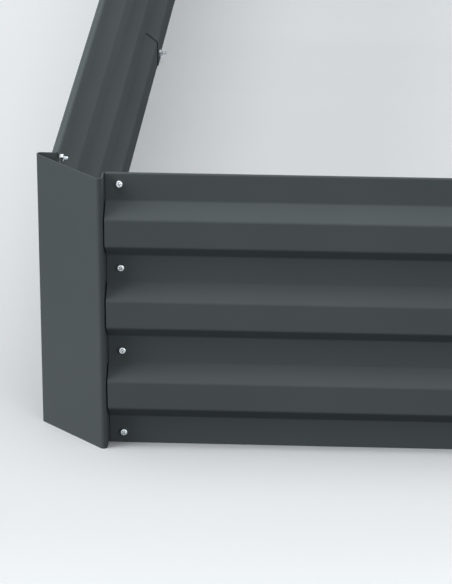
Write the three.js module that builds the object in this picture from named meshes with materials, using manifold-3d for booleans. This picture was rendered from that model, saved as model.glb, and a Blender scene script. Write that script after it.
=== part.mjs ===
// Raised garden bed in coated sheet steel: folded corner posts, ribbed wall panels with an open hem along
// the top, machine screws with washers and nuts, and one cross brace at mid-length.
// Millimetres, +Z up. The origin is on the ground under the middle of the bed. +X runs along the short
// front wall, +Y along the long side walls, and the front wall is on the -Y side.

import * as THREE from 'three';
import { mergeVertices } from 'three/addons/utils/BufferGeometryUtils.js';
import Module from 'manifold-3d';

// Overall size, over the corner posts
const bedWidth = 900;
const bedLength = 2400;
const bedHeight = 300;

// Clearance between two pieces that are clamped together
const seatGap = 0.3;

// Wall panels: flats and ribs, roll-formed along the panel
const panelSheet = 1;
const ribCount = 3;
const ribDepth = 17.5;
const ribFace = 30; // height of a rib's outer face
const ribSide = 14.5; // height that one sloping side of a rib takes
const panelBend = 3.6; // bend radius at the middle of the sheet
const panelEndGap = 1.5; // from a panel's end to the lip of the post

// Corner posts: a 45 degree face, a lip back to each wall, and a flange behind each panel
const postSheet = 1.2;
const postReach = 56; // from the corner where the two walls' flats would meet to the lip
const postProud = 1; // how far the post's rounded edges stand out past the ribs
const faceBend = 4; // outer radius beside the 45 degree face
const flangeBend = 1.5; // inner radius between lip and flange
const flangeWidth = 30;

// Lap at mid-length, where one panel steps in by its own thickness and lies behind the other
const lapLength = 30;
const stepRun = 6; // length over which the panel steps in

// Machine screws with washers and nuts
const screwDiameter = 4;
const screwLength = 12;
const screwClearance = 0.4; // all round the thread in its hole
const headDiameter = 8;
const headHeight = 2.6;
const headRim = 0.9; // straight edge of the head under its crown
const washerDiameter = 9;
const washerSheet = 0.8;
const nutWidth = 7; // across the flats
const nutHeight = 3.2;
const screwEdge = 12; // from the top and bottom edges to the nearest screws
const screwInset = 16; // from the lip of the post to its column of screws
const hemClearance = 0.5; // from the hem down to the topmost washers

// Cross brace: a flat bar on edge, with both ends bent along the side walls
const braceSheet = 2.5;
const braceHeight = 20;
const braceTab = 26; // length of a bent end
const braceBend = 3; // inner radius
const braceRow = 2; // the screw of each lap column that holds the brace, counted up from 0

// Fineness of the round forms
const bendStep = Math.PI / 8;
const screwSides = 8;
const crownRings = 2;
const samePoint = 1e-4; // points nearer than this are one

// What follows from the sizes above
const postDepth = ribDepth + postProud;
const halfWidth = bedWidth / 2 - postDepth; // from the middle to the side walls' flats
const halfLength = bedLength / 2 - postDepth; // from the middle to the end walls' flats
const postColumn = postReach + screwInset;
const panelStart = postReach + panelEndGap;
const hemGap = postSheet + 2 * seatGap;
const hemBend = (hemGap + panelSheet) / 2;
const hemBottom = bedHeight - screwEdge + washerDiameter / 2 + hemClearance;
const tuckedTop = bedHeight - panelSheet - hemGap / 2; // top of a sheet that stands inside the hem
const flangeStack = panelSheet + seatGap + postSheet;
const lapStep = panelSheet + seatGap;
const lapStack = lapStep + panelSheet;
const braceStack = lapStack + seatGap + braceSheet;
const cutReach = 2 * postDepth; // long enough to pass through any wall

const wasm = await Module();
wasm.setup();

const coatedSteel = new THREE.MeshStandardMaterial({ color: 0x42494d, roughness: 0.55, metalness: 0 });
const zincPlate = new THREE.MeshStandardMaterial({ color: 0xc9ccce, roughness: 0.3, metalness: 1 });
const braceZinc = new THREE.MeshStandardMaterial({ color: 0xa9adb0, roughness: 0.45, metalness: 1 });

// ---- Solids ----

// A closed geometry as a solid that can be joined and cut.
function solidOf(geometry) {
  const bare = new THREE.BufferGeometry();
  bare.setAttribute('position', geometry.getAttribute('position').clone());
  bare.setIndex(geometry.getIndex());
  const merged = mergeVertices(bare, samePoint);
  const vertProperties = merged.getAttribute('position').array;
  const triVerts = new Uint32Array(merged.getIndex().array);
  return new wasm.Manifold(new wasm.Mesh({ numProp: 3, vertProperties, triVerts }));
}

function geometryOf(solid) {
  const { vertProperties, triVerts } = solid.getMesh();
  const geometry = new THREE.BufferGeometry();
  geometry.setAttribute('position', new THREE.BufferAttribute(vertProperties, 3));
  geometry.setIndex(new THREE.BufferAttribute(triVerts, 1));
  return geometry;
}

function boxSolid(low, high) {
  const size = high.clone().sub(low);
  const middle = low.clone().add(high).multiplyScalar(0.5);
  return solidOf(new THREE.BoxGeometry(size.x, size.y, size.z).translate(middle.x, middle.y, middle.z));
}

function meshOf(name, geometry, material) {
  const mesh = new THREE.Mesh(geometry, material);
  mesh.name = name;
  return mesh;
}

// ---- Folded sheet ----

function leftOf(direction) {
  return new THREE.Vector2(-direction.y, direction.x);
}

function corner(x, y, bend = 0) {
  return { at: new THREE.Vector2(x, y), bend };
}

// Points along one round bend, each with the sheet's left-hand normal there.
function bendSamples({ at, bend }, before, after) {
  const turn = Math.atan2(before.cross(after), before.dot(after));
  const side = Math.sign(turn);
  const start = at.clone().addScaledVector(before, -bend * Math.tan(Math.abs(turn) / 2));
  const centre = start.addScaledVector(leftOf(before), side * bend);
  const steps = Math.ceil(Math.abs(turn) / bendStep - samePoint);
  return Array.from({ length: steps + 1 }, (_, i) => {
    const normal = leftOf(before).rotateAround(new THREE.Vector2(), (turn * i) / steps);
    return { at: centre.clone().addScaledVector(normal, -side * bend), normal };
  });
}

// The middle line of a folded sheet: straight runs between corners, with a round bend at each corner.
function foldLine(corners) {
  const runs = corners.slice(1).map((next, i) => next.at.clone().sub(corners[i].at).normalize());
  const samples = [{ at: corners[0].at, normal: leftOf(runs[0]) }];
  for (let i = 1; i < runs.length; i += 1) {
    samples.push(...bendSamples(corners[i], runs[i - 1], runs[i]));
  }
  samples.push({ at: corners.at(-1).at, normal: leftOf(runs.at(-1)) });
  return samples.filter(({ at }, i) => i === 0 || at.distanceTo(samples[i - 1].at) > samePoint);
}

// Both faces of a sheet around its middle line, as one closed outline. The line may first be moved
// sideways, which keeps every bend concentric.
function sheetOutline(line, sheet, shift = 0) {
  const face = (offset) => line.map(({ at, normal }) => at.clone().addScaledVector(normal, offset));
  return [...face(shift - sheet / 2), ...face(shift + sheet / 2).reverse()];
}

// ---- Wall panels ----
// A wall's own frame has x along the wall from its middle, y inwards from the outer face of the flats,
// and z up. Profiles are drawn in y and z.

const flatHeight = (bedHeight - ribCount * (ribFace + 2 * ribSide)) / (ribCount + 1);

// The corners of the ribs from the ground up, for the middle of the sheet.
function ribCorners() {
  const flat = panelSheet / 2;
  const crest = flat - ribDepth;
  const corners = [];
  for (let rib = 0; rib < ribCount; rib += 1) {
    const foot = flatHeight + rib * (flatHeight + ribFace + 2 * ribSide);
    corners.push(corner(flat, foot, panelBend));
    corners.push(corner(crest, foot + ribSide, panelBend));
    corners.push(corner(crest, foot + ribSide + ribFace, panelBend));
    corners.push(corner(flat, foot + 2 * ribSide + ribFace, panelBend));
  }
  return corners;
}

function hemmedProfile() {
  const flat = panelSheet / 2;
  const fold = bedHeight - panelSheet / 2;
  const leg = flat + 2 * hemBend;
  const hem = [corner(flat, fold, hemBend), corner(leg, fold, hemBend), corner(leg, hemBottom)];
  return foldLine([corner(flat, 0), ...ribCorners(), ...hem]);
}

function tuckedProfile() {
  const flat = panelSheet / 2;
  return foldLine([corner(flat, 0), ...ribCorners(), corner(flat, tuckedTop)]);
}

// Joins profiles that lie one after another along the wall, and closes both ends.
function loftAlongWall(stations) {
  const count = stations[0].outline.length;
  const positions = stations.flatMap(({ x, outline }) => outline.flatMap((p) => [x, p.x, p.y]));
  const cap = THREE.ShapeUtils.triangulateShape(stations[0].outline, []);
  const last = (stations.length - 1) * count;
  const index = cap.flatMap(([a, b, c]) => [a, c, b, last + a, last + b, last + c]);
  for (let ring = 0; ring < last; ring += count) {
    for (let i = 0; i < count; i += 1) {
      const next = (i + 1) % count;
      index.push(ring + i, ring + next, ring + count + next);
      index.push(ring + i, ring + count + next, ring + count + i);
    }
  }
  const geometry = new THREE.BufferGeometry();
  geometry.setAttribute('position', new THREE.Float32BufferAttribute(positions, 3));
  geometry.setIndex(index);
  return solidOf(geometry);
}

function rollFormed(line, startX, endX) {
  const outline = sheetOutline(line, panelSheet);
  return loftAlongWall([{ x: startX, outline }, { x: endX, outline }]);
}

// The heights of the screws in one column, from the ground up.
function screwHeights() {
  const pitch = (bedHeight - 2 * screwEdge) / ribCount;
  return Array.from({ length: ribCount + 1 }, (_, row) => screwEdge + row * pitch);
}

// A cutter for one screw hole through a sheet that faces along y.
function holeAt(x, z) {
  const radius = screwDiameter / 2 + screwClearance;
  return solidOf(new THREE.CylinderGeometry(radius, radius, cutReach, screwSides).translate(x, 0, z));
}

function drillColumns(panel, columns) {
  const holes = columns.flatMap((x) => screwHeights().map((z) => holeAt(x, z)));
  return geometryOf(panel.subtract(wasm.Manifold.union(holes)));
}

function endPanel() {
  const end = halfWidth - panelStart;
  const column = halfWidth - postColumn;
  return drillColumns(rollFormed(hemmedProfile(), -end, end), [-column, column]);
}

// The outer panel of a side wall, from a post to just past mid-length.
function outerSidePanel() {
  const start = panelStart - halfLength;
  const column = postColumn - halfLength;
  return drillColumns(rollFormed(hemmedProfile(), start, lapLength / 2), [column, 0]);
}

// The inner panel of a side wall. Its hem ends where it steps in behind the outer panel, and from there
// its plain top edge stands inside the outer panel's hem.
function innerSidePanel() {
  const stepStart = lapLength / 2 + panelEndGap;
  const stepEnd = stepStart + stepRun;
  const end = halfLength - panelStart;
  const tucked = tuckedProfile();
  const plain = sheetOutline(tucked, panelSheet);
  const stepped = sheetOutline(tucked, panelSheet, -lapStep);
  const lap = loftAlongWall([
    { x: -lapLength / 2, outline: stepped },
    { x: stepStart, outline: stepped },
    { x: stepEnd, outline: plain },
    { x: end, outline: plain },
  ]);
  const hemmed = rollFormed(hemmedProfile(), stepEnd, end);
  return drillColumns(lap.add(hemmed), [0, halfLength - postColumn]);
}

// ---- Corner posts ----
// A post's own frame has its origin where the outer faces of the two walls' flats would meet, with
// x and y along the two walls.

function postFoldLine() {
  const lip = postReach - postSheet / 2;
  const flange = panelSheet + seatGap + postSheet / 2;
  const flangeEnd = postReach + flangeWidth;
  // x + y along the middle of the 45 degree face, which puts the rounded edges postDepth outside
  const face = postReach - postDepth - Math.SQRT2 * (faceBend - postSheet / 2);
  return foldLine([
    corner(flangeEnd, flange),
    corner(lip, flange, flangeBend + postSheet / 2),
    corner(lip, face - lip, faceBend - postSheet / 2),
    corner(face - lip, lip, faceBend - postSheet / 2),
    corner(flange, lip, flangeBend + postSheet / 2),
    corner(flange, flangeEnd),
  ]);
}

// What is cut off the top of the flange along x, so that it stands inside the panel's hem.
function flangeNotch() {
  const low = new THREE.Vector3(panelStart - seatGap, 0, tuckedTop);
  const high = new THREE.Vector3(postReach + flangeWidth + cutReach, cutReach, bedHeight + cutReach);
  return boxSolid(low, high);
}

// Swaps a cutter made for the wall along x over to the wall along y.
function acrossCorner(solid) {
  const swap = new THREE.Matrix4().makeBasis(
    new THREE.Vector3(0, 1, 0),
    new THREE.Vector3(1, 0, 0),
    new THREE.Vector3(0, 0, 1),
  );
  return solid.transform(swap.elements);
}

function cornerPost() {
  const shape = new THREE.Shape(sheetOutline(postFoldLine(), postSheet));
  const folded = solidOf(new THREE.ExtrudeGeometry(shape, { depth: bedHeight, bevelEnabled: false }));
  const cuts = [flangeNotch(), ...screwHeights().map((z) => holeAt(postColumn, z))];
  return geometryOf(folded.subtract(wasm.Manifold.union([...cuts, ...cuts.map(acrossCorner)])));
}

// ---- Screws, washers and nuts ----

// A screw along y with its washer and nut drawn up on a stack of sheets that starts at y = 0.
function bolt(stack) {
  const head = headDiameter / 2;
  const shank = screwDiameter / 2;
  const washer = washerDiameter / 2;
  const underHead = -seatGap;
  const seat = stack + seatGap;
  const tail = screwLength - seatGap;
  const crown = new THREE.Path().moveTo(0, underHead - headHeight);
  crown.quadraticCurveTo(head, underHead - headHeight, head, underHead - headRim);
  const profile = [
    ...crown.getPoints(crownRings),
    new THREE.Vector2(head, underHead),
    new THREE.Vector2(shank, underHead),
    new THREE.Vector2(shank, seat),
    new THREE.Vector2(washer, seat),
    new THREE.Vector2(washer, seat + washerSheet),
    new THREE.Vector2(shank, seat + washerSheet),
    new THREE.Vector2(shank, tail),
    new THREE.Vector2(0, tail),
  ];
  const turned = solidOf(new THREE.LatheGeometry(profile, screwSides));
  return geometryOf(turned.add(hexNut(seat)));
}

// The nut reaches through its washer, so that the two are one piece with the screw.
function hexNut(seat) {
  const radius = nutWidth / Math.sqrt(3);
  const height = washerSheet + nutHeight;
  return solidOf(new THREE.CylinderGeometry(radius, radius, height, 6).translate(0, seat + height / 2, 0));
}

// ---- Cross brace ----

function crossBrace() {
  const tab = halfWidth - lapStack - seatGap - braceSheet / 2;
  const bar = -braceTab / 2 + braceSheet / 2;
  const bend = braceBend + braceSheet / 2;
  const line = foldLine([
    corner(-tab, braceTab / 2),
    corner(-tab, bar, bend),
    corner(tab, bar, bend),
    corner(tab, braceTab / 2),
  ]);
  const shape = new THREE.Shape(sheetOutline(line, braceSheet));
  const bent = solidOf(new THREE.ExtrudeGeometry(shape, { depth: braceHeight, bevelEnabled: false }));
  const radius = screwDiameter / 2 + screwClearance;
  const bore = new THREE.CylinderGeometry(radius, radius, bedWidth, screwSides)
    .rotateZ(Math.PI / 2)
    .translate(0, 0, braceHeight / 2);
  return geometryOf(bent.subtract(solidOf(bore)));
}

// ---- Assembly ----

const quarterTurn = Math.PI / 2;
const postShape = cornerPost();
const endPanelShape = endPanel();
const outerPanelShape = outerSidePanel();
const innerPanelShape = innerSidePanel();
const flangeBolt = bolt(flangeStack);
const lapBolt = bolt(lapStack);
const braceBolt = bolt(braceStack);

function placed(object, x, y, turns) {
  object.position.set(x, y, 0);
  object.rotation.z = turns * quarterTurn;
  return object;
}

function boltColumn(name, shapeOfRow) {
  const column = new THREE.Group();
  screwHeights().forEach((z, row) => {
    const fastener = meshOf(`${name}_${row + 1}`, shapeOfRow(row), zincPlate);
    fastener.position.z = z;
    column.add(fastener);
  });
  return column;
}

// One post with the screws through its two flanges. Each wall is named as the end or the side wall.
function cornerAssembly(name, wallAlongX, wallAlongY) {
  const group = new THREE.Group();
  group.add(meshOf(`corner_post_${name}`, postShape, coatedSteel));
  const alongX = boltColumn(`bolt_${name}_${wallAlongX}`, () => flangeBolt);
  const alongY = boltColumn(`bolt_${name}_${wallAlongY}`, () => flangeBolt);
  group.add(placed(alongX, postColumn, 0, 0));
  group.add(placed(alongY, 0, postColumn, -1));
  return group;
}

// The two panels of a side wall with the screws of their lap. On the left wall they are mirrored, so
// that the outer panel is the front one on both sides.
function sideWall(name, mirror) {
  const group = new THREE.Group();
  const outer = meshOf(`${name}_panel_front`, outerPanelShape, coatedSteel);
  const inner = meshOf(`${name}_panel_rear`, innerPanelShape, coatedSteel);
  outer.scale.x = mirror;
  inner.scale.x = mirror;
  group.add(outer, inner);
  group.add(boltColumn(`lap_bolt_${name}`, (row) => (row === braceRow ? braceBolt : lapBolt)));
  return group;
}

const brace = meshOf('cross_brace', crossBrace(), braceZinc);
brace.position.z = screwHeights()[braceRow] - braceHeight / 2;

const bed = new THREE.Group();
bed.add(placed(cornerAssembly('front_left', 'end', 'side'), -halfWidth, -halfLength, 0));
bed.add(placed(cornerAssembly('front_right', 'side', 'end'), halfWidth, -halfLength, 1));
bed.add(placed(cornerAssembly('rear_right', 'end', 'side'), halfWidth, halfLength, 2));
bed.add(placed(cornerAssembly('rear_left', 'side', 'end'), -halfWidth, halfLength, 3));
bed.add(placed(meshOf('front_panel', endPanelShape, coatedSteel), 0, -halfLength, 0));
bed.add(placed(meshOf('rear_panel', endPanelShape, coatedSteel), 0, halfLength, 2));
bed.add(placed(sideWall('right', 1), halfWidth, 0, 1));
bed.add(placed(sideWall('left', -1), -halfWidth, 0, -1));
bed.add(brace);

export default bed;
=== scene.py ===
"""Raised garden bed in powder coated sheet steel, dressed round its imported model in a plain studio.

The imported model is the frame: every length that it holds is read from it, in metres, +Z up, with the
origin on the ground under the middle of the bed. The short front wall is on the -Y side. What the frame
doesn't say, such as sheet thicknesses and bend radii, is a named value in millimetres times MM.
"""

import logging
import math
from collections.abc import Callable, Iterable, Iterator
from contextlib import contextmanager
from dataclasses import dataclass, field
from enum import Enum

import bmesh
import bpy
from mathutils import Matrix, Vector


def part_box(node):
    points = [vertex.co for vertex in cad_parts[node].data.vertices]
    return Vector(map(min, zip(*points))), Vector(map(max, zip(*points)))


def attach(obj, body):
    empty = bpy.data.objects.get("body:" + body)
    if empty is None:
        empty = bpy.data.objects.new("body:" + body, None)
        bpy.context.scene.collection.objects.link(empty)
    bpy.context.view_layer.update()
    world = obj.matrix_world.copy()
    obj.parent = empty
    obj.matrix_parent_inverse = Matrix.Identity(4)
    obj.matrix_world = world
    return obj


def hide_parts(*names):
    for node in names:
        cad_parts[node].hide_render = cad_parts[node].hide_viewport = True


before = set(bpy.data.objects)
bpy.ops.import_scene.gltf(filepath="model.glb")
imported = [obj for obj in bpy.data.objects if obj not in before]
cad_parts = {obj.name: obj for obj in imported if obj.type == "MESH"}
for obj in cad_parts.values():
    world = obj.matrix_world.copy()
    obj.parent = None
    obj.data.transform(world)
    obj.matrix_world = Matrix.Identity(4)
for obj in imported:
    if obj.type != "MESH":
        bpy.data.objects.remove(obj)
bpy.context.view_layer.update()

log = logging.getLogger("garden_bed")

MM = 0.001
QUARTER_TURN = math.pi / 2
MERGE_REACH = 0.002 * MM
HOLE_SIDES = 28
BREAK_ANGLE = math.radians(50)  # an edge that turns more is sharp, and is broken
SMOOTH_ANGLE = math.radians(40)  # an edge that turns less is shaded smooth


# ---- Tools of the bench ----


class Element(Enum):
    """What a selection in edit mode picks."""

    VERTEX = "VERT"
    EDGE = "EDGE"
    FACE = "FACE"


def rest_bench() -> None:
    """Leaves edit mode and deselects everything."""
    if bpy.context.object and bpy.context.object.mode != "OBJECT":
        bpy.ops.object.mode_set(mode="OBJECT")
    bpy.ops.object.select_all(action="DESELECT")


def take_up(piece: bpy.types.Object) -> None:
    """Selects one piece alone and makes it the active one."""
    rest_bench()
    piece.select_set(True)
    bpy.context.view_layer.objects.active = piece


@contextmanager
def editing(piece: bpy.types.Object) -> Iterator[None]:
    """Holds a piece in edit mode for the length of a with block."""
    take_up(piece)
    bpy.ops.object.mode_set(mode="EDIT")
    yield
    bpy.ops.object.mode_set(mode="OBJECT")


def pick(piece: bpy.types.Object, element: Element, wanted: Callable[[list[Vector]], bool]) -> None:
    """Selects in edit mode what lies where a test says, and nothing else.

    Args:
        piece: the object in edit mode.
        element: whether vertices, edges or faces are picked.
        wanted: the test, given the places of one element's vertices.
    """
    bpy.ops.mesh.select_mode(type=element.value)
    bpy.ops.mesh.select_all(action="DESELECT")
    mesh = bmesh.from_edit_mesh(piece.data)
    if element is Element.VERTEX:
        for vertex in mesh.verts:
            vertex.select_set(wanted([vertex.co]))
    else:
        for item in mesh.edges if element is Element.EDGE else mesh.faces:
            item.select_set(wanted([vertex.co for vertex in item.verts]))
    mesh.select_flush_mode()
    bmesh.update_edit_mesh(piece.data)


def near(value: float, target: float, reach: float = 0.02 * MM) -> bool:
    """Tells whether two lengths are the same for a selection."""
    return abs(value - target) < reach


def start_piece(name: str) -> bpy.types.Object:
    """Names the primitive that was just added and puts its place and turn into its mesh."""
    piece = bpy.context.object
    piece.name = piece.data.name = name
    bpy.ops.object.transform_apply(location=True, rotation=True, scale=True)
    return piece


def upright_sheet(name: str, low: Vector, high: Vector) -> bpy.types.Object:
    """Adds a flat upright sheet that faces along Y.

    Args:
        name: the piece's name.
        low: its corner at the lower X and Z.
        high: its corner at the higher X and Z, with the same Y.

    Returns:
        The sheet, one face without thickness.
    """
    rest_bench()
    middle = (low + high) / 2
    bpy.ops.mesh.primitive_plane_add(size=1, location=middle, rotation=(QUARTER_TURN, 0, 0))
    bpy.ops.transform.resize(value=(high.x - low.x, 1, high.z - low.z))
    return start_piece(name)


@dataclass
class SheetBender:
    """Carries the selected edge of a sheet on, run by run and bend by bend, as a folding machine does."""

    at: Vector  # a point of the edge, at the middle of the sheet
    heading: Vector
    edge: Vector  # the edge's direction, which every bend turns about
    segments_per_turn: int = 48

    def run(self, length: float) -> None:
        """Extrudes the edge straight on."""
        bpy.ops.mesh.extrude_region_move(TRANSFORM_OT_translate={"value": self.heading * length})
        self.at = self.at + self.heading * length

    def bend(self, radius: float, turn: float) -> None:
        """Spins the edge round one bend.

        Args:
            radius: bend radius at the middle of the sheet.
            turn: angle of the bend, positive to the left as seen with the edge pointing at the viewer.
        """
        side = self.edge.cross(self.heading) * math.copysign(radius, turn)
        centre = self.at + side
        steps = math.ceil(abs(turn) / (2 * math.pi) * self.segments_per_turn)
        # the spin operator counts its angle the other way round
        bpy.ops.mesh.spin(steps=steps, angle=-turn, center=centre, axis=self.edge)
        rotation = Matrix.Rotation(turn, 3, self.edge)
        self.at = centre - rotation @ side
        self.heading = rotation @ self.heading

    def follow(self, corners: list[tuple[Vector, float]]) -> None:
        """Goes from corner to corner of a profile and rounds each by its own radius.

        Args:
            corners: for each corner where it is and its radius; the last one is the far edge.
        """
        for (corner, radius), (beyond, _) in zip(corners, corners[1:]):
            ahead = (beyond - corner).normalized()
            turn = math.atan2(self.heading.cross(ahead).dot(self.edge), self.heading.dot(ahead))
            self.run((corner - self.at).dot(self.heading) - radius * math.tan(abs(turn) / 2))
            self.bend(radius, turn)
        self.run((corners[-1][0] - self.at).dot(self.heading))


def merge_surface() -> None:
    """Merges in edit mode what lies double, and turns all faces one way, outwards if the piece is closed."""
    bpy.ops.mesh.select_all(action="SELECT")
    bpy.ops.mesh.remove_doubles(threshold=MERGE_REACH)
    bpy.ops.mesh.normals_make_consistent(inside=False)


def apply_modifier(piece: bpy.types.Object, kind: str, **settings: object) -> None:
    """Adds one modifier with its settings and applies it.

    Args:
        piece: the piece that it changes.
        kind: the modifier's type name.
        settings: the modifier's own properties.
    """
    take_up(piece)
    modifier = piece.modifiers.new(kind.lower(), kind)
    for name, value in settings.items():
        setattr(modifier, name, value)
    bpy.ops.object.modifier_apply(modifier=modifier.name)


def thicken(piece: bpy.types.Object, sheet: float) -> None:
    """Gives a folded surface its sheet thickness, half on either side, and points its faces outwards."""
    apply_modifier(
        piece, "SOLIDIFY", thickness=sheet, offset=0, use_even_offset=True, use_quality_normals=True
    )
    face_outwards(piece)


def face_outwards(piece: bpy.types.Object) -> None:
    """Merges doubled vertices and turns every face of a closed piece outwards."""
    with editing(piece):
        merge_surface()


def combine(piece: bpy.types.Object, tool: bpy.types.Object, operation: str) -> None:
    """Cuts, joins or intersects a piece with a tool shape, and throws the tool away.

    Args:
        piece: the piece that stays.
        tool: the closed shape that it meets.
        operation: DIFFERENCE, UNION or INTERSECT.
    """
    apply_modifier(piece, "BOOLEAN", operation=operation, object=tool, solver="EXACT")
    bpy.data.objects.remove(tool)


def ease_edges(piece: bpy.types.Object, width: float, segments: int = 2) -> None:
    """Breaks every sharp edge and shades the piece, large faces flat.

    Args:
        piece: the piece.
        width: how much comes off beside each edge.
        segments: steps of the rounding.
    """
    apply_modifier(
        piece,
        "BEVEL",
        width=width,
        segments=segments,
        limit_method="ANGLE",
        angle_limit=BREAK_ANGLE,
        use_clamp_overlap=True,
    )
    take_up(piece)
    bpy.ops.object.shade_smooth_by_angle(angle=SMOOTH_ANGLE)
    apply_modifier(piece, "WEIGHTED_NORMAL", keep_sharp=True)


def rods(places: Iterable[Vector], axis: Vector, radius: float, length: float) -> bpy.types.Object:
    """Makes round rods along one axis as one tool for a row of holes.

    Args:
        places: the middle of each rod.
        axis: the direction of the rods.
        radius: their radius.
        length: their length.

    Returns:
        All rods as one object.
    """
    turn = axis.to_track_quat("Z", "Y").to_euler()
    made = []
    for place in places:
        rest_bench()
        bpy.ops.mesh.primitive_cylinder_add(
            vertices=HOLE_SIDES, radius=radius, depth=length, location=place, rotation=turn
        )
        made.append(start_piece("hole_tool"))
    for rod in made:
        rod.select_set(True)
    bpy.ops.object.join()
    return bpy.context.object


def block(low: Vector, high: Vector) -> bpy.types.Object:
    """Makes a box between two corners as a cutting tool."""
    rest_bench()
    bpy.ops.mesh.primitive_cube_add(size=1, location=(low + high) / 2)
    bpy.ops.transform.resize(value=high - low)
    return start_piece("block_tool")


def placed_copy(piece: bpy.types.Object, name: str, place: Matrix) -> bpy.types.Object:
    """Copies a finished piece with a mesh of its own and puts the copy's place into that mesh.

    Args:
        piece: the finished piece.
        name: the copy's name.
        place: where the copy goes.

    Returns:
        The copy.
    """
    copy = piece.copy()
    copy.data = piece.data.copy()
    copy.name = copy.data.name = name
    copy.data.transform(place)
    copy.data.update()
    bpy.context.scene.collection.objects.link(copy)
    return copy


# ---- Materials ----


def linear(colour: str) -> tuple[float, float, float, float]:
    """Turns an sRGB hex colour such as #3f464a into linear red, green, blue and alpha."""
    channels = [int(colour[i : i + 2], 16) / 255 for i in (1, 3, 5)]
    red, green, blue = (c / 12.92 if c <= 0.04045 else ((c + 0.055) / 1.055) ** 2.4 for c in channels)
    return red, green, blue, 1.0


def add_node(
    tree: bpy.types.NodeTree, kind: str, inputs: dict[str | int, object] | None = None, **settings: object
) -> bpy.types.Node:
    """Adds one shader node with its settings and links.

    Args:
        tree: the material's node tree.
        kind: the node's type name.
        inputs: for each input, a value or the output socket that feeds it.
        settings: the node's own properties.

    Returns:
        The new node.
    """
    node = tree.nodes.new(kind)
    for name, value in settings.items():
        setattr(node, name, value)
    for socket, value in (inputs or {}).items():
        if isinstance(value, bpy.types.NodeSocket):
            tree.links.new(value, node.inputs[socket])
        else:
            node.inputs[socket].default_value = value
    return node


def empty_material(name: str) -> tuple[bpy.types.Material, bpy.types.NodeTree]:
    """Makes a material whose node tree holds nothing yet."""
    material = bpy.data.materials.new(name)
    material.use_nodes = True
    material.node_tree.nodes.clear()
    return material, material.node_tree


def waves_per_metre(size: float) -> float:
    """Gives the noise scale whose features are about one size across."""
    return 1 / size


def ramp(
    tree: bpy.types.NodeTree, factor: bpy.types.NodeSocket, low: float, high: float
) -> bpy.types.NodeSocket:
    """Spreads a pattern from 0 to 1 over the range from low to high, and gives that socket."""
    node = add_node(tree, "ShaderNodeMapRange", {"Value": factor, "To Min": low, "To Max": high})
    return node.outputs["Result"]


def mix_colours(
    tree: bpy.types.NodeTree, factor: bpy.types.NodeSocket, first: str, second: str
) -> bpy.types.NodeSocket:
    """Mixes two sRGB hex colours by a pattern and gives the colour socket."""
    node = add_node(
        tree, "ShaderNodeMix", {"Factor": factor, "A": linear(first), "B": linear(second)}, data_type="RGBA"
    )
    return node.outputs["Result"]


def seen_rays(tree: bpy.types.NodeTree) -> bpy.types.NodeSocket:
    """Tells the rays that show a background to the viewer, straight or in metal, from light's own.

    Args:
        tree: the node tree that asks.

    Returns:
        The socket that is 1 for them and 0 for the others.
    """
    rays = add_node(tree, "ShaderNodeLightPath")
    seen = rays.outputs["Is Camera Ray"]
    for kind in ("Is Glossy Ray", "Is Transmission Ray"):
        seen = add_node(
            tree, "ShaderNodeMath", {0: seen, 1: rays.outputs[kind]}, operation="MAXIMUM"
        ).outputs["Value"]
    return seen


@dataclass(frozen=True)
class PowderCoat:
    """Polyester powder coat on galvanised sheet: an opaque, nearly matt film with a faint orange peel."""

    name: str = "anthracite_powder_coat"
    body: str = "#5a6163"
    cloud: str = "#606769"
    roughness_low: float = 0.8
    roughness_high: float = 0.88
    specular_level: float = 0.03  # the film's matting agent takes most of its gloss
    cloud_size: float = 140 * MM  # slow drift of the film's shade along a panel
    peel_size: float = 2.4 * MM  # width of one dimple of the orange peel
    peel_height: float = 0.006 * MM
    grain_size: float = 0.9 * MM  # coarser than the real powder grain, so that it shows at all

    def build(self) -> bpy.types.Material:
        """Makes the material.

        Returns:
            The material.
        """
        material, tree = empty_material(self.name)
        place = add_node(tree, "ShaderNodeTexCoord").outputs["Object"]
        # size, detail and roughness of each pattern
        patterns = ((self.cloud_size, 3.0, 0.5), (self.grain_size, 2.0, 0.6), (self.peel_size, 1.0, 0.4))
        cloud, grain, peel = (
            add_node(
                tree,
                "ShaderNodeTexNoise",
                {"Vector": place, "Scale": waves_per_metre(size), "Detail": detail, "Roughness": rough},
            ).outputs["Fac"]
            for size, detail, rough in patterns
        )
        bump = add_node(
            tree,
            "ShaderNodeBump",
            {"Height": peel, "Distance": self.peel_height, "Strength": 1.0},
        )
        shader = add_node(
            tree,
            "ShaderNodeBsdfPrincipled",
            {
                "Base Color": mix_colours(tree, cloud, self.body, self.cloud),
                "Roughness": ramp(tree, grain, self.roughness_low, self.roughness_high),
                "Specular IOR Level": self.specular_level,
                "Normal": bump.outputs["Normal"],
            },
        )
        add_node(tree, "ShaderNodeOutputMaterial", {"Surface": shader.outputs["BSDF"]})
        return material


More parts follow.
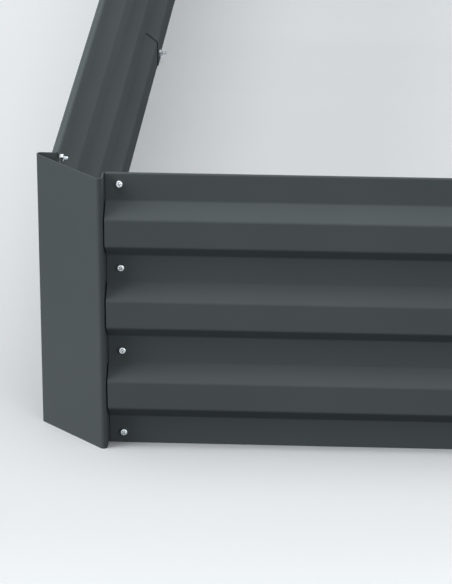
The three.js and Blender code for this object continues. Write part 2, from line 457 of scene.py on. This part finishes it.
@dataclass(frozen=True)
class BrightZinc:
    """Zinc plate with a clear passivate: a bright bluish metal, slightly uneven in gloss."""

    name: str = "bright_zinc_plate"
    light: str = "#dfe3e6"
    dark: str = "#c3c9ce"
    roughness_low: float = 0.2
    roughness_high: float = 0.34
    patch_size: float = 1.6 * MM  # clouds of the passivate on a screw head

    def build(self) -> bpy.types.Material:
        """Makes the material.

        Returns:
            The material.
        """
        material, tree = empty_material(self.name)
        place = add_node(tree, "ShaderNodeTexCoord").outputs["Object"]
        patch = add_node(
            tree,
            "ShaderNodeTexNoise",
            {"Vector": place, "Scale": waves_per_metre(self.patch_size), "Detail": 3.0, "Roughness": 0.55},
        )
        shader = add_node(
            tree,
            "ShaderNodeBsdfPrincipled",
            {
                "Base Color": mix_colours(tree, patch.outputs["Fac"], self.light, self.dark),
                "Metallic": 1.0,
                "Roughness": ramp(tree, patch.outputs["Fac"], self.roughness_low, self.roughness_high),
            },
        )
        add_node(tree, "ShaderNodeOutputMaterial", {"Surface": shader.outputs["BSDF"]})
        return material


@dataclass(frozen=True)
class SpangledZinc:
    """Hot dip galvanised bar: dull zinc whose crystals each reflect a little differently."""

    name: str = "galvanised_bar"
    light: str = "#b9bec2"
    dark: str = "#989fa4"
    roughness_low: float = 0.36
    roughness_high: float = 0.52
    spangle_size: float = 4.5 * MM  # width of one zinc crystal

    def build(self) -> bpy.types.Material:
        """Makes the material.

        Returns:
            The material.
        """
        material, tree = empty_material(self.name)
        place = add_node(tree, "ShaderNodeTexCoord").outputs["Object"]
        spangle = add_node(
            tree, "ShaderNodeTexVoronoi", {"Vector": place, "Scale": waves_per_metre(self.spangle_size)}
        )
        tone = add_node(tree, "ShaderNodeSeparateColor", {"Color": spangle.outputs["Color"]})
        shader = add_node(
            tree,
            "ShaderNodeBsdfPrincipled",
            {
                "Base Color": mix_colours(tree, tone.outputs["Red"], self.light, self.dark),
                "Metallic": 1.0,
                "Roughness": ramp(tree, tone.outputs["Green"], self.roughness_low, self.roughness_high),
            },
        )
        add_node(tree, "ShaderNodeOutputMaterial", {"Surface": shader.outputs["BSDF"]})
        return material


@dataclass(frozen=True)
class StudioPaper:
    """Pale background paper under the bed: plain, matt and slightly bluish."""

    name: str = "pale_background_paper"
    colour: str = "#f7fbfe"
    bounce: str = "#5c6063"  # what it throws back on the bed: little, as the undercuts are dark

    def build(self) -> bpy.types.Material:
        """Makes the material.

        Returns:
            The material.
        """
        material, tree = empty_material(self.name)
        bounce = add_node(tree, "ShaderNodeBsdfDiffuse", {"Color": linear(self.bounce)})
        seen = add_node(tree, "ShaderNodeBsdfDiffuse", {"Color": linear(self.colour)})
        shader = add_node(
            tree,
            "ShaderNodeMixShader",
            {0: seen_rays(tree), 1: bounce.outputs["BSDF"], 2: seen.outputs["BSDF"]},
        )
        add_node(tree, "ShaderNodeOutputMaterial", {"Surface": shader.outputs["Shader"]})
        return material


# ---- Sizes ----


@dataclass(frozen=True)
class BedSizes:
    """The bed's main lengths, in metres. The first group is read from the frame."""

    half_width: float  # from the middle to the side walls' flats
    half_length: float  # from the middle to the end walls' flats
    height: float
    rib_depth: float
    post_depth: float  # from the walls' flats out to the post's rounded edges
    flange_end: float  # from the corner where the two walls' flats meet to the end of a post's flange
    post_reach: float  # from that corner to the lip of the post
    seat_gap: float = 0.3 * MM
    panel_sheet: float = 1.0 * MM
    post_sheet: float = 1.2 * MM
    brace_sheet: float = 2.5 * MM
    panel_end_gap: float = 1.5 * MM
    rib_count: int = 3
    rib_face: float = 30 * MM
    rib_side: float = 14.5 * MM
    panel_bend: float = 3.6 * MM  # at the middle of the sheet
    hem_bottom: float = 293 * MM
    step_run: float = 6 * MM
    hole_radius: float = 2.4 * MM
    edge_break: float = 0.16 * MM

    @classmethod
    def from_frame(cls) -> "BedSizes":
        """Works the sizes out from the corners of the front wall and of one post.

        Returns:
            The sizes.
        """
        panel_low, panel_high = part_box("front_panel")
        post_low, post_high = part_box("corner_post_front_left")
        hem = 2 * cls.panel_sheet + cls.post_sheet + 2 * cls.seat_gap
        half_length = hem - panel_high.y
        half_width = half_length + post_low.y - post_low.x
        return cls(
            half_width=half_width,
            half_length=half_length,
            height=panel_high.z,
            rib_depth=-panel_low.y - half_length,
            post_depth=-post_low.y - half_length,
            flange_end=post_high.x + half_width,
            post_reach=panel_low.x + half_width - cls.panel_end_gap,
        )

    @property
    def hem_gap(self) -> float:
        """Room inside the hem for a sheet and its clearance."""
        return self.post_sheet + 2 * self.seat_gap

    @property
    def hem_bend(self) -> float:
        """Radius of the hem's fold at the middle of the sheet."""
        return (self.hem_gap + self.panel_sheet) / 2

    @property
    def fold_height(self) -> float:
        """Height at which the hem starts to fold over, and where a tucked edge ends."""
        return self.height - self.panel_sheet / 2 - self.hem_bend

    @property
    def flat_height(self) -> float:
        """Height of one flat between two ribs."""
        rib = self.rib_face + 2 * self.rib_side
        return (self.height - self.rib_count * rib) / (self.rib_count + 1)

    @property
    def lap_step(self) -> float:
        """How far the inner panel steps in to lie behind the outer one."""
        return self.panel_sheet + self.seat_gap


# ---- Fasteners ----


@dataclass(frozen=True)
class Seat:
    """Where one screw sits: on the outer face of the sheets, with its head outwards."""

    node: str
    point: Vector
    outwards: Vector

    @classmethod
    def of(cls, node: str, head: float) -> "Seat":
        """Reads a screw's seat from the corners of its solid.

        Args:
            node: the solid's name.
            head: from the sheets' outer face to the top of the head.

        Returns:
            The seat.
        """
        low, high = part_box(node)
        middle = (low + high) / 2
        along = max((0, 1), key=lambda axis: (high - low)[axis])
        outwards = Vector((0, 0, 0))
        outwards[along] = math.copysign(1, middle[along])
        point = middle.copy()
        point[along] = (high if outwards[along] > 0 else low)[along] - outwards[along] * head
        return cls(node, point, outwards)

    def matrix(self, turn: float) -> Matrix:
        """Gives the place of a fastener modelled along +Z, turned about its own axis."""
        facing = self.outwards.to_track_quat("Z", "Y").to_matrix().to_4x4()
        return Matrix.Translation(self.point) @ facing @ Matrix.Rotation(turn, 4, "Z")


@dataclass
class Fasteners:
    """The machine screws, washers and nuts, modelled once along +Z and copied to every seat."""

    sizes: BedSizes
    screw_radius: float = 2 * MM
    root_radius: float = 1.55 * MM
    thread_pitch: float = 0.7 * MM
    length: float = 12 * MM
    head_radius: float = 4 * MM
    head_height: float = 2.6 * MM
    head_rim: float = 0.9 * MM
    slot_length: float = 4.6 * MM
    slot_width: float = 0.95 * MM
    slot_depth: float = 1.5 * MM
    washer_radius: float = 4.5 * MM
    washer_sheet: float = 0.8 * MM
    nut_width: float = 7 * MM
    nut_height: float = 3.2 * MM
    turn_between: float = math.radians(137.5)  # from one screw to the next, as no two are left alike
    thread_steps: int = 14
    thread_merge: float = 0.01 * MM  # between one turn and the next
    thread_top: float = 0.5 * MM  # how far it reaches up into the head
    round_sides: int = 40  # of heads and washers
    crown_steps: int = 7
    recess_taper: float = 0.45  # the recess's foot against its mouth
    recess_top: float = 0.5 * MM  # how far its tool stands out of the head
    tip_taper: float = 0.82
    screw_break: float = 0.04 * MM
    washer_bore: float = 2.15 * MM  # radius
    washer_break: float = 0.12 * MM
    nut_bore: float = 1.8 * MM  # radius, inside the thread's crests
    nut_chamfer: float = 1 * MM
    turned_sides: int = 48  # of the round shape that chamfers the nut
    turned_radius: float = 1.05  # of that shape, against the nut's corners
    turned_beyond: float = 0.4 * MM  # so that its cone meets the nut's flat ends at a clean edge
    nut_break: float = 0.06 * MM
    seats: list[Seat] = field(default_factory=list)

    def find_seats(self) -> None:
        """Reads every fastener's seat from the frame."""
        head = self.sizes.seat_gap + self.head_height
        names = [node for node in sorted(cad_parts) if "bolt" in node]
        self.seats = [Seat.of(node, head) for node in names]

    def stack(self, node: str) -> float:
        """Adds up the sheets that one fastener clamps.

        Args:
            node: the name of the fastener's solid.

        Returns:
            Their thickness.
        """
        sizes = self.sizes
        if not node.startswith("lap_bolt"):
            return sizes.panel_sheet + sizes.seat_gap + sizes.post_sheet
        lap = sizes.lap_step + sizes.panel_sheet
        low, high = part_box("cross_brace")
        bolt_low, bolt_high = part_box(node)
        held = low.z < (bolt_low.z + bolt_high.z) / 2 < high.z
        return lap + sizes.seat_gap + sizes.brace_sheet if held else lap

    def model_head(self) -> bpy.types.Object:
        """Makes the pan head with its cross recess.

        Returns:
            The head.
        """
        base = self.sizes.seat_gap
        rest_bench()
        bpy.ops.mesh.primitive_cylinder_add(
            vertices=self.round_sides,
            radius=self.head_radius,
            depth=self.head_height,
            location=(0, 0, base + self.head_height / 2),
        )
        head = start_piece("screw_head")
        top = base + self.head_height
        with editing(head):
            pick(head, Element.EDGE, lambda at: all(near(v.z, top) for v in at))
            bpy.ops.mesh.bevel(
                offset_type="OFFSET",
                offset=self.head_height - self.head_rim,
                segments=self.crown_steps,
                profile=0.5,
                affect="EDGES",
            )
        combine(head, self.model_recess(top), "DIFFERENCE")
        return head

    def model_recess(self, top: float) -> bpy.types.Object:
        """Makes the tool for the cross recess: two crossed blades that taper downwards.

        Args:
            top: height of the head's top.

        Returns:
            The tool.
        """
        blades = []
        for turn in (0, QUARTER_TURN):
            rest_bench()
            middle = (0, 0, top - self.slot_depth / 2 + self.recess_top / 2)
            bpy.ops.mesh.primitive_cube_add(size=1, location=middle, rotation=(0, 0, turn))
            blade = bpy.context.object
            blade.scale = (self.slot_length, self.slot_width, self.slot_depth + self.recess_top)
            blade = start_piece("recess_tool")
            with editing(blade):
                pick(blade, Element.FACE, lambda at: all(v.z < top - self.slot_depth / 2 for v in at))
                bpy.ops.transform.resize(value=(self.recess_taper, self.recess_taper, 1))
            blades.append(blade)
        combine(blades[0], blades[1], "UNION")
        return blades[0]

    def model_thread(self) -> bpy.types.Object:
        """Makes the threaded shank by winding one V of the thread down a helix.

        Returns:
            The shank.
        """
        low = self.sizes.seat_gap - self.length
        rest_bench()
        bpy.ops.mesh.primitive_circle_add(vertices=3, radius=1, rotation=(QUARTER_TURN, -QUARTER_TURN, 0))
        thread = start_piece("screw_thread")
        turns = math.floor((self.length + self.thread_top) / self.thread_pitch)
        with editing(thread):
            mesh = bmesh.from_edit_mesh(thread.data)
            outer = max(mesh.verts, key=lambda vertex: vertex.co.x)
            others = sorted((v for v in mesh.verts if v != outer), key=lambda vertex: vertex.co.z)
            outer.co = (self.screw_radius, 0, low + self.thread_pitch / 2)
            others[0].co = (self.root_radius, 0, low)
            others[1].co = (self.root_radius, 0, low + self.thread_pitch)
            bmesh.update_edit_mesh(thread.data)
            pick(thread, Element.EDGE, lambda at: all(near(v.x, self.root_radius) for v in at))
            bpy.ops.mesh.delete(type="EDGE")
        apply_modifier(
            thread,
            "SCREW",
            axis="Z",
            angle=2 * math.pi,
            screw_offset=self.thread_pitch,
            iterations=turns,
            steps=self.thread_steps,
            render_steps=self.thread_steps,
        )
        with editing(thread):
            bpy.ops.mesh.select_all(action="SELECT")
            bpy.ops.mesh.remove_doubles(threshold=self.thread_merge)
            for side in (-1, 1):
                self.close_thread_end(thread, side)
            tip = low + self.thread_pitch
            pick(thread, Element.VERTEX, lambda at: at[0].z < tip)
            narrowed = (self.tip_taper, self.tip_taper, 1)
            bpy.ops.transform.resize(value=narrowed, center_override=(0, 0, low))
        face_outwards(thread)
        return thread

    def close_thread_end(self, thread: bpy.types.Object, side: int) -> None:
        """Closes one open end of the thread with faces that meet on the axis.

        Args:
            thread: the thread in edit mode.
            side: -1 for the tip and 1 for the end under the head.
        """
        middle = self.sizes.seat_gap - self.length / 2
        bpy.ops.mesh.select_mode(type="EDGE")
        bpy.ops.mesh.select_all(action="DESELECT")
        mesh = bmesh.from_edit_mesh(thread.data)
        for edge in mesh.edges:
            edge.select_set(edge.is_boundary and all(side * (v.co.z - middle) > 0 for v in edge.verts))
        bmesh.update_edit_mesh(thread.data)
        bpy.ops.mesh.extrude_region_move(TRANSFORM_OT_translate={"value": (0, 0, 0)})
        bpy.ops.mesh.merge(type="CENTER")

    def model_screw(self) -> bpy.types.Object:
        """Joins head and thread into one screw.

        Returns:
            The screw.
        """
        screw = self.model_head()
        combine(screw, self.model_thread(), "UNION")
        ease_edges(screw, self.screw_break, segments=1)
        return screw

    def model_washer(self) -> bpy.types.Object:
        """Makes the flat washer with its top at height 0.

        Returns:
            The washer.
        """
        rest_bench()
        bpy.ops.mesh.primitive_cylinder_add(
            vertices=self.round_sides,
            radius=self.washer_radius,
            depth=self.washer_sheet,
            location=(0, 0, -self.washer_sheet / 2),
        )
        washer = start_piece("washer")
        with editing(washer):
            pick(washer, Element.FACE, lambda at: len(at) > 4)
            bpy.ops.mesh.inset(thickness=self.washer_radius - self.washer_bore)
            bpy.ops.mesh.bridge_edge_loops()
        face_outwards(washer)
        ease_edges(washer, self.washer_break)
        return washer

    def model_nut(self) -> bpy.types.Object:
        """Makes the hexagon nut with chamfered corners and its top at height 0.

        Returns:
            The nut.
        """
        rest_bench()
        corner = self.nut_width / math.sqrt(3)
        middle = (0, 0, -self.nut_height / 2)
        bpy.ops.mesh.primitive_cylinder_add(
            vertices=6, radius=corner, depth=self.nut_height, location=middle
        )
        nut = start_piece("nut")
        rest_bench()
        bpy.ops.mesh.primitive_cylinder_add(
            vertices=self.turned_sides,
            radius=corner * self.turned_radius,
            depth=self.nut_height + 2 * self.turned_beyond,
            location=middle,
        )
        turned = start_piece("nut_turning")
        with editing(turned):
            pick(turned, Element.EDGE, lambda at: near(at[0].z, at[1].z))
            bpy.ops.mesh.bevel(offset_type="OFFSET", offset=self.nut_chamfer, segments=1, affect="EDGES")
        combine(nut, turned, "INTERSECT")
        bore = rods([Vector(middle)], Vector((0, 0, 1)), self.nut_bore, 2 * self.nut_height)
        combine(nut, bore, "DIFFERENCE")
        ease_edges(nut, self.nut_break, segments=1)
        return nut

    def build(self, zinc: bpy.types.Material) -> None:
        """Models the three shapes, copies them to every seat and dresses them.

        Args:
            zinc: the material of all fasteners.
        """
        shapes = (self.model_screw(), self.model_washer(), self.model_nut())
        for shape in shapes:
            shape.data.materials.append(zinc)
        for count, seat in enumerate(self.seats):
            under = self.stack(seat.node) + self.sizes.seat_gap
            depths = (0.0, under, under + self.washer_sheet)
            for kind, (shape, depth) in enumerate(zip(shapes, depths)):
                turn = self.turn_between * (count + 1) * (kind + 1)
                name = seat.node.replace("bolt", ("screw", "washer", "nut")[kind])
                place = seat.matrix(turn) @ Matrix.Translation((0, 0, -depth))
                copy = placed_copy(shape, name, place)
                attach(copy, "root")
                if kind == 0:
                    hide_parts(seat.node)
        for shape in shapes:
            bpy.data.objects.remove(shape)
        log.info("fasteners: %d screws with washers and nuts", len(self.seats))


# ---- Wall panels ----


class Wall(Enum):
    """The four walls, each with the quarter turns from the front wall to it."""

    FRONT = 0
    RIGHT = 1
    REAR = 2
    LEFT = 3

    def matrix(self, sizes: BedSizes) -> Matrix:
        """Gives the place of a wall's own frame: x along it, y inwards from its flats' outer face."""
        reach = sizes.half_length if self in (Wall.FRONT, Wall.REAR) else sizes.half_width
        turn = Matrix.Rotation(self.value * QUARTER_TURN, 4, "Z")
        return turn @ Matrix.Translation((0, -reach, 0))


@dataclass
class WallPanel:
    """One roll-formed panel: flats and trapezoid ribs, and an open hem along the top."""

    node: str
    wall: Wall
    sizes: BedSizes
    seats: list[Seat]
    steps_in: bool = False  # whether one end steps in to lie behind the other panel of its wall
    step_stations: int = 6

    @property
    def name(self) -> str:
        """The piece's name in the scene."""
        return f"{self.node}_sheet"

    def span(self) -> tuple[float, float]:
        """Gives the panel's two ends along the wall's own x."""
        back = self.wall.matrix(self.sizes).inverted()
        ends = sorted((back @ corner).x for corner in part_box(self.node))
        return ends[0], ends[1]

    def holes(self) -> list[Vector]:
        """Gives the screw holes' centres in the wall's own frame."""
        start, end = self.span()
        back = self.wall.matrix(self.sizes).inverted()
        places = [back @ seat.point for seat in self.seats]
        return [p for p in places if near(p.y, 0, self.sizes.panel_sheet) and start < p.x < end]

    def model_profile(self) -> bpy.types.Object:
        """Folds the middle surface up from the lowest flat through the ribs to the hem.

        Returns:
            The surface.
        """
        sizes = self.sizes
        start, end = self.span()
        middle = sizes.panel_sheet / 2
        crest = middle - sizes.rib_depth
        inner = middle + 2 * sizes.hem_bend
        rib = 2 * sizes.rib_side + sizes.rib_face
        corners = []
        for count in range(sizes.rib_count):
            foot = sizes.flat_height + count * (sizes.flat_height + rib)
            rises = (0, sizes.rib_side, rib - sizes.rib_side, rib)
            for y, rise in zip((middle, crest, crest, middle), rises):
                corners.append((Vector((0, y, foot + rise)), sizes.panel_bend))
        corners.append((Vector((0, middle, sizes.fold_height)), 0))
        seam = sizes.flat_height / 2
        panel = upright_sheet(self.name, Vector((start, middle, 0)), Vector((end, middle, seam)))
        bender = SheetBender(Vector((0, middle, seam)), Vector((0, 0, 1)), Vector((1, 0, 0)))
        with editing(panel):
            pick(panel, Element.EDGE, lambda at: all(near(v.z, seam) for v in at))
            bender.follow(corners)
            bender.bend(sizes.hem_bend, -math.pi)
            bender.follow([(Vector((0, inner, sizes.hem_bottom)), 0)])
            merge_surface()
        return panel

    def step_in(self, panel: bpy.types.Object) -> None:
        """Steps the lapping end in by one sheet, and ends the hem where the step does.

        Args:
            panel: the panel's middle surface.
        """
        sizes = self.sizes
        start, end = self.span()
        side = 1 if abs(start) < abs(end) else -1
        lap = min(abs(start), abs(end))
        first = lap + sizes.panel_end_gap
        stations = [first + sizes.step_run * i / self.step_stations for i in range(self.step_stations + 1)]
        slack = 0.01 * MM  # keeps the tests clear of vertices on their line
        with editing(panel):
            for station in stations:
                bpy.ops.mesh.select_all(action="SELECT")
                bpy.ops.mesh.bisect(plane_co=(side * station, 0, 0), plane_no=(1, 0, 0))
            hem = sizes.panel_sheet / 2
            pick(
                panel,
                Element.FACE,
                lambda at: all(side * v.x < stations[-1] + slack for v in at)
                and any(v.y > hem + slack for v in at),
            )
            bpy.ops.mesh.delete(type="FACE")
            pick(panel, Element.VERTEX, lambda at: side * at[0].x < first + slack)
            self.shift_selected(panel, sizes.lap_step)
            for place, station in enumerate(stations[1:-1], start=1):
                share = (1 + math.cos(math.pi * place / self.step_stations)) / 2
                pick(panel, Element.VERTEX, lambda at, x=side * station: near(at[0].x, x))
                self.shift_selected(panel, sizes.lap_step * share)

    def shift_selected(self, panel: bpy.types.Object, distance: float) -> None:
        """Moves the selected stretch of the surface inwards along its normals, every bend concentric.

        Args:
            panel: the panel's middle surface in edit mode.
            distance: how far it moves.
        """
        mesh = bmesh.from_edit_mesh(panel.data)
        mesh.normal_update()
        inward = sum(v.normal.y for v in mesh.verts if v.select)
        bpy.ops.transform.shrink_fatten(value=math.copysign(distance, inward), use_even_offset=True)

    def build(self, coat: bpy.types.Material) -> None:
        """Models, places and dresses the panel.

        Args:
            coat: the panel's material.
        """
        panel = self.model_profile()
        if self.steps_in:
            self.step_in(panel)
        thicken(panel, self.sizes.panel_sheet)
        depth = 4 * self.sizes.rib_depth
        combine(panel, rods(self.holes(), Vector((0, 1, 0)), self.sizes.hole_radius, depth), "DIFFERENCE")
        ease_edges(panel, self.sizes.edge_break)
        panel.data.transform(self.wall.matrix(self.sizes))
        panel.data.materials.clear()
        panel.data.materials.append(coat)
        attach(panel, "root")
        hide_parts(self.node)
        log.info("%s: %d faces", panel.name, len(panel.data.polygons))


# ---- Corner posts ----


@dataclass
class CornerPosts:
    """The four folded posts: a 45 degree face, a lip back to each wall and a flange behind each panel."""

    sizes: BedSizes
    seats: list[Seat]
    face_bend: float = 4 * MM  # outer radius beside the 45 degree face
    flange_bend: float = 1.5 * MM  # inner radius between lip and flange
    corner_reach: float = 10 * MM  # how far outside the walls' flats a screw still counts as this corner's
    names: tuple[str, ...] = ("front_left", "front_right", "rear_right", "rear_left")

    def matrix(self, corner: int) -> Matrix:
        """Gives the place of one corner's own frame, x and y along the two walls from the corner."""
        turn = Matrix.Rotation(corner * QUARTER_TURN, 4, "Z")
        sides = (self.sizes.half_width, self.sizes.half_length)
        along, across = sides if corner % 2 == 0 else sides[::-1]
        return turn @ Matrix.Translation((-along, -across, 0))

    def holes(self, corner: int) -> list[Vector]:
        """Gives the screw holes' centres in one corner's own frame."""
        back = self.matrix(corner).inverted()
        places = [back @ seat.point for seat in self.seats]
        return [p for p in places if all(-self.corner_reach < c < self.sizes.flange_end for c in p.xy)]

    def model_fold(self) -> bpy.types.Object:
        """Folds the middle surface from one flange round the 45 degree face to the other flange.

        Returns:
            The surface.
        """
        sizes = self.sizes
        half = sizes.post_sheet / 2
        lip = sizes.post_reach - half
        flange = sizes.panel_sheet + sizes.seat_gap + half
        bend = self.face_bend - half
        fold = self.flange_bend + half
        face = sizes.post_reach - sizes.post_depth - math.sqrt(2) * bend
        seam = sizes.flange_end - sizes.panel_sheet
        low = Vector((seam, flange, 0))
        high = Vector((sizes.flange_end, flange, sizes.height))
        post = upright_sheet("corner_post", low, high)
        corners = [
            (Vector((lip, flange, 0)), fold),
            (Vector((lip, face - lip, 0)), bend),
            (Vector((face - lip, lip, 0)), bend),
            (Vector((flange, lip, 0)), fold),
            (Vector((flange, sizes.flange_end, 0)), 0),
        ]
        bender = SheetBender(Vector((seam, flange, 0)), Vector((-1, 0, 0)), Vector((0, 0, 1)))
        with editing(post):
            pick(post, Element.EDGE, lambda at: all(near(v.x, seam) for v in at))
            bender.follow(corners)
            merge_surface()
        return post

    def notch(self, swap: bool) -> bpy.types.Object:
        """Makes the tool that lowers one flange's top, so that it stands inside the panel's hem.

        Args:
            swap: whether the flange along y is meant, not the one along x.

        Returns:
            The tool.
        """
        sizes = self.sizes
        start = sizes.post_reach + sizes.panel_end_gap - sizes.seat_gap
        far = 2 * sizes.flange_end
        low = Vector((start, 0, sizes.fold_height))
        high = Vector((far, sizes.post_depth, 2 * sizes.height))
        if swap:
            low.xy, high.xy = low.yx, high.yx
        return block(low, high)

    def build(self, coat: bpy.types.Material) -> None:
        """Models one post, copies it to the four corners and dresses the copies.

        Args:
            coat: the posts' material.
        """
        post = self.model_fold()
        thicken(post, self.sizes.post_sheet)
        for swap in (False, True):
            combine(post, self.notch(swap), "DIFFERENCE")
        holes = self.holes(0)
        depth = 2 * self.sizes.post_depth
        for axis in (Vector((0, 1, 0)), Vector((1, 0, 0))):
            row = [p for p in holes if near(p.dot(axis), 0, MM)]
            combine(post, rods(row, axis, self.sizes.hole_radius, depth), "DIFFERENCE")
        ease_edges(post, self.sizes.edge_break)
        post.data.materials.clear()
        post.data.materials.append(coat)
        for corner, name in enumerate(self.names):
            copy = placed_copy(post, f"post_{name}_sheet", self.matrix(corner))
            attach(copy, "root")
            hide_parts(f"corner_post_{name}")
            log.info("%s: %d faces", copy.name, len(copy.data.polygons))
        bpy.data.objects.remove(post)


# ---- Cross brace ----


@dataclass
class CrossBrace:
    """The flat bar on edge between the side walls' laps, both ends bent along the walls."""

    sizes: BedSizes
    bend: float = 3 * MM  # inner radius
    corner_radius: float = 4 * MM  # of a tab's free corners
    corner_steps: int = 6
    edge_break: float = 0.3 * MM
    node: str = "cross_brace"

    def build(self, zinc: bpy.types.Material) -> None:
        """Models, places and dresses the brace.

        Args:
            zinc: the bar's material.
        """
        box_low, box_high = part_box(self.node)
        half = self.sizes.brace_sheet / 2
        tab = box_high.x - half
        bar = box_low.y + half
        low = Vector((-tab / 2, bar, box_low.z))
        high = Vector((tab / 2, bar, box_high.z))
        brace = upright_sheet("cross_brace_bar", low, high)
        with editing(brace):
            for side in (-1, 1):
                start = Vector((side * tab / 2, bar, 0))
                bender = SheetBender(start, Vector((side, 0, 0)), Vector((0, 0, 1)))
                pick(brace, Element.EDGE, lambda at, x=start.x: all(near(v.x, x) for v in at))
                bent = Vector((side * tab, bar, 0))
                bender.follow([(bent, self.bend + half), (Vector((side * tab, box_high.y, 0)), 0)])
            pick(brace, Element.VERTEX, lambda at: near(at[0].y, box_high.y))
            bpy.ops.mesh.bevel(
                offset_type="OFFSET",
                offset=self.corner_radius,
                segments=self.corner_steps,
                affect="VERTICES",
            )
            merge_surface()
        thicken(brace, self.sizes.brace_sheet)
        middle = Vector((0, 0, (box_low.z + box_high.z) / 2))
        radius = self.sizes.hole_radius
        combine(brace, rods([middle], Vector((1, 0, 0)), radius, 4 * tab), "DIFFERENCE")
        ease_edges(brace, self.edge_break)
        brace.data.materials.clear()
        brace.data.materials.append(zinc)
        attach(brace, "root")
        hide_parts(self.node)
        log.info("%s: %d faces", brace.name, len(brace.data.polygons))


# ---- Studio ----


@dataclass(frozen=True)
class WideLamp:
    """One far lamp as wide as a diffuser, which lights near and far ends of the bed alike."""

    name: str
    direction: tuple[float, float, float]  # from the bed to the lamp
    width: float  # its angle as the bed sees it, in degrees
    strength: float

    def build(self) -> None:
        """Adds the lamp."""
        data = bpy.data.lights.new(self.name, "SUN")
        data.angle = math.radians(self.width)
        data.energy = self.strength
        lamp = bpy.data.objects.new(self.name, data)
        lamp.matrix_world = Vector(self.direction).to_track_quat("Z", "Y").to_matrix().to_4x4()
        bpy.context.scene.collection.objects.link(lamp)


@dataclass
class Studio:
    """A pale floor, wide lamps, an even pale surround and the camera."""

    floor_side: float = 60.0
    world_colour: str = "#ffffff"
    world_strength: float = 0.14
    backdrop_colour: str = "#f0f5f8"
    camera_place: tuple[float, float, float] = (0.1662, -6.2258, 2.2170)
    camera_azimuth: float = math.radians(-4.731)
    camera_elevation: float = math.radians(22.010)
    camera_roll: float = math.radians(-0.632)
    focal_pixels: float = 5307.2
    image_height: int = 584
    sensor: float = 36.0
    clip: tuple[float, float] = (0.1, 100.0)  # nearest and farthest that the camera sees
    lamps: tuple[WideLamp, ...] = (
        WideLamp("diffuser_above", (0, 0, 1), 60, 1.38),
        WideLamp("diffuser_left", (-1, -0.3, 0.45), 45, 2.1),
        WideLamp("diffuser_low_front", (0.75, -0.85, 0.2), 35, 0.78),
        WideLamp("diffuser_behind", (0.7, 0.8, 0.5), 45, 1.2),
    )

    def build_floor(self) -> None:
        """Adds the floor under the bed."""
        rest_bench()
        bpy.ops.mesh.primitive_plane_add(size=self.floor_side)
        floor = start_piece("studio_floor")
        floor.data.materials.append(StudioPaper().build())

    def build_world(self) -> None:
        """Makes the even surround, with a pale backdrop where the camera or a reflection sees it."""
        world = bpy.data.worlds.new("studio_surround")
        world.use_nodes = True
        tree = world.node_tree
        tree.nodes.clear()
        light = add_node(
            tree,
            "ShaderNodeBackground",
            {"Color": linear(self.world_colour), "Strength": self.world_strength},
        )
        backdrop = add_node(
            tree, "ShaderNodeBackground", {"Color": linear(self.backdrop_colour), "Strength": 1.0}
        )
        mixed = add_node(
            tree,
            "ShaderNodeMixShader",
            {0: seen_rays(tree), 1: light.outputs["Background"], 2: backdrop.outputs["Background"]},
        )
        add_node(tree, "ShaderNodeOutputWorld", {"Surface": mixed.outputs["Shader"]})
        bpy.context.scene.world = world

    def build_camera(self) -> None:
        """Adds the camera where the photograph was taken from, and makes it the scene's."""
        data = bpy.data.cameras.new("photo_camera")
        data.sensor_width = self.sensor
        data.lens = self.focal_pixels / self.image_height * self.sensor
        camera = bpy.data.objects.new("photo_camera", data)
        yaw = Matrix.Rotation(-self.camera_azimuth, 4, "Z")
        pitch = Matrix.Rotation(QUARTER_TURN - self.camera_elevation, 4, "X")
        roll = Matrix.Rotation(self.camera_roll, 4, "Z")
        camera.matrix_world = Matrix.Translation(self.camera_place) @ yaw @ pitch @ roll
        data.clip_start, data.clip_end = self.clip
        bpy.context.scene.collection.objects.link(camera)
        bpy.context.scene.camera = camera

    def build(self) -> None:
        """Builds the whole studio."""
        self.build_camera()
        self.build_floor()
        self.build_world()
        for lamp in self.lamps:
            lamp.build()
        bpy.context.scene.view_settings.view_transform = "Standard"
        log.info("studio: floor, surround, %d lamps and the camera", len(self.lamps))


# ---- Assembly ----


def build_walls(sizes: BedSizes, seats: list[Seat], coat: bpy.types.Material) -> None:
    """Builds the six wall panels."""
    walls = (
        ("front_panel", Wall.FRONT, False),
        ("rear_panel", Wall.REAR, False),
        ("left_panel_front", Wall.LEFT, False),
        ("left_panel_rear", Wall.LEFT, True),
        ("right_panel_front", Wall.RIGHT, False),
        ("right_panel_rear", Wall.RIGHT, True),
    )
    for node, wall, steps_in in walls:
        WallPanel(node, wall, sizes, seats, steps_in).build(coat)


def main() -> None:
    logging.basicConfig(level=logging.INFO, format="%(name)s: %(message)s")
    Studio().build()
    sizes = BedSizes.from_frame()
    coat = PowderCoat().build()
    zinc = BrightZinc().build()
    galvanised = SpangledZinc().build()
    fasteners = Fasteners(sizes)
    fasteners.find_seats()
    build_walls(sizes, fasteners.seats, coat)
    CornerPosts(sizes, fasteners.seats).build(coat)
    CrossBrace(sizes).build(galvanised)
    fasteners.build(zinc)
    rest_bench()


if __name__ == "__main__":
    main()
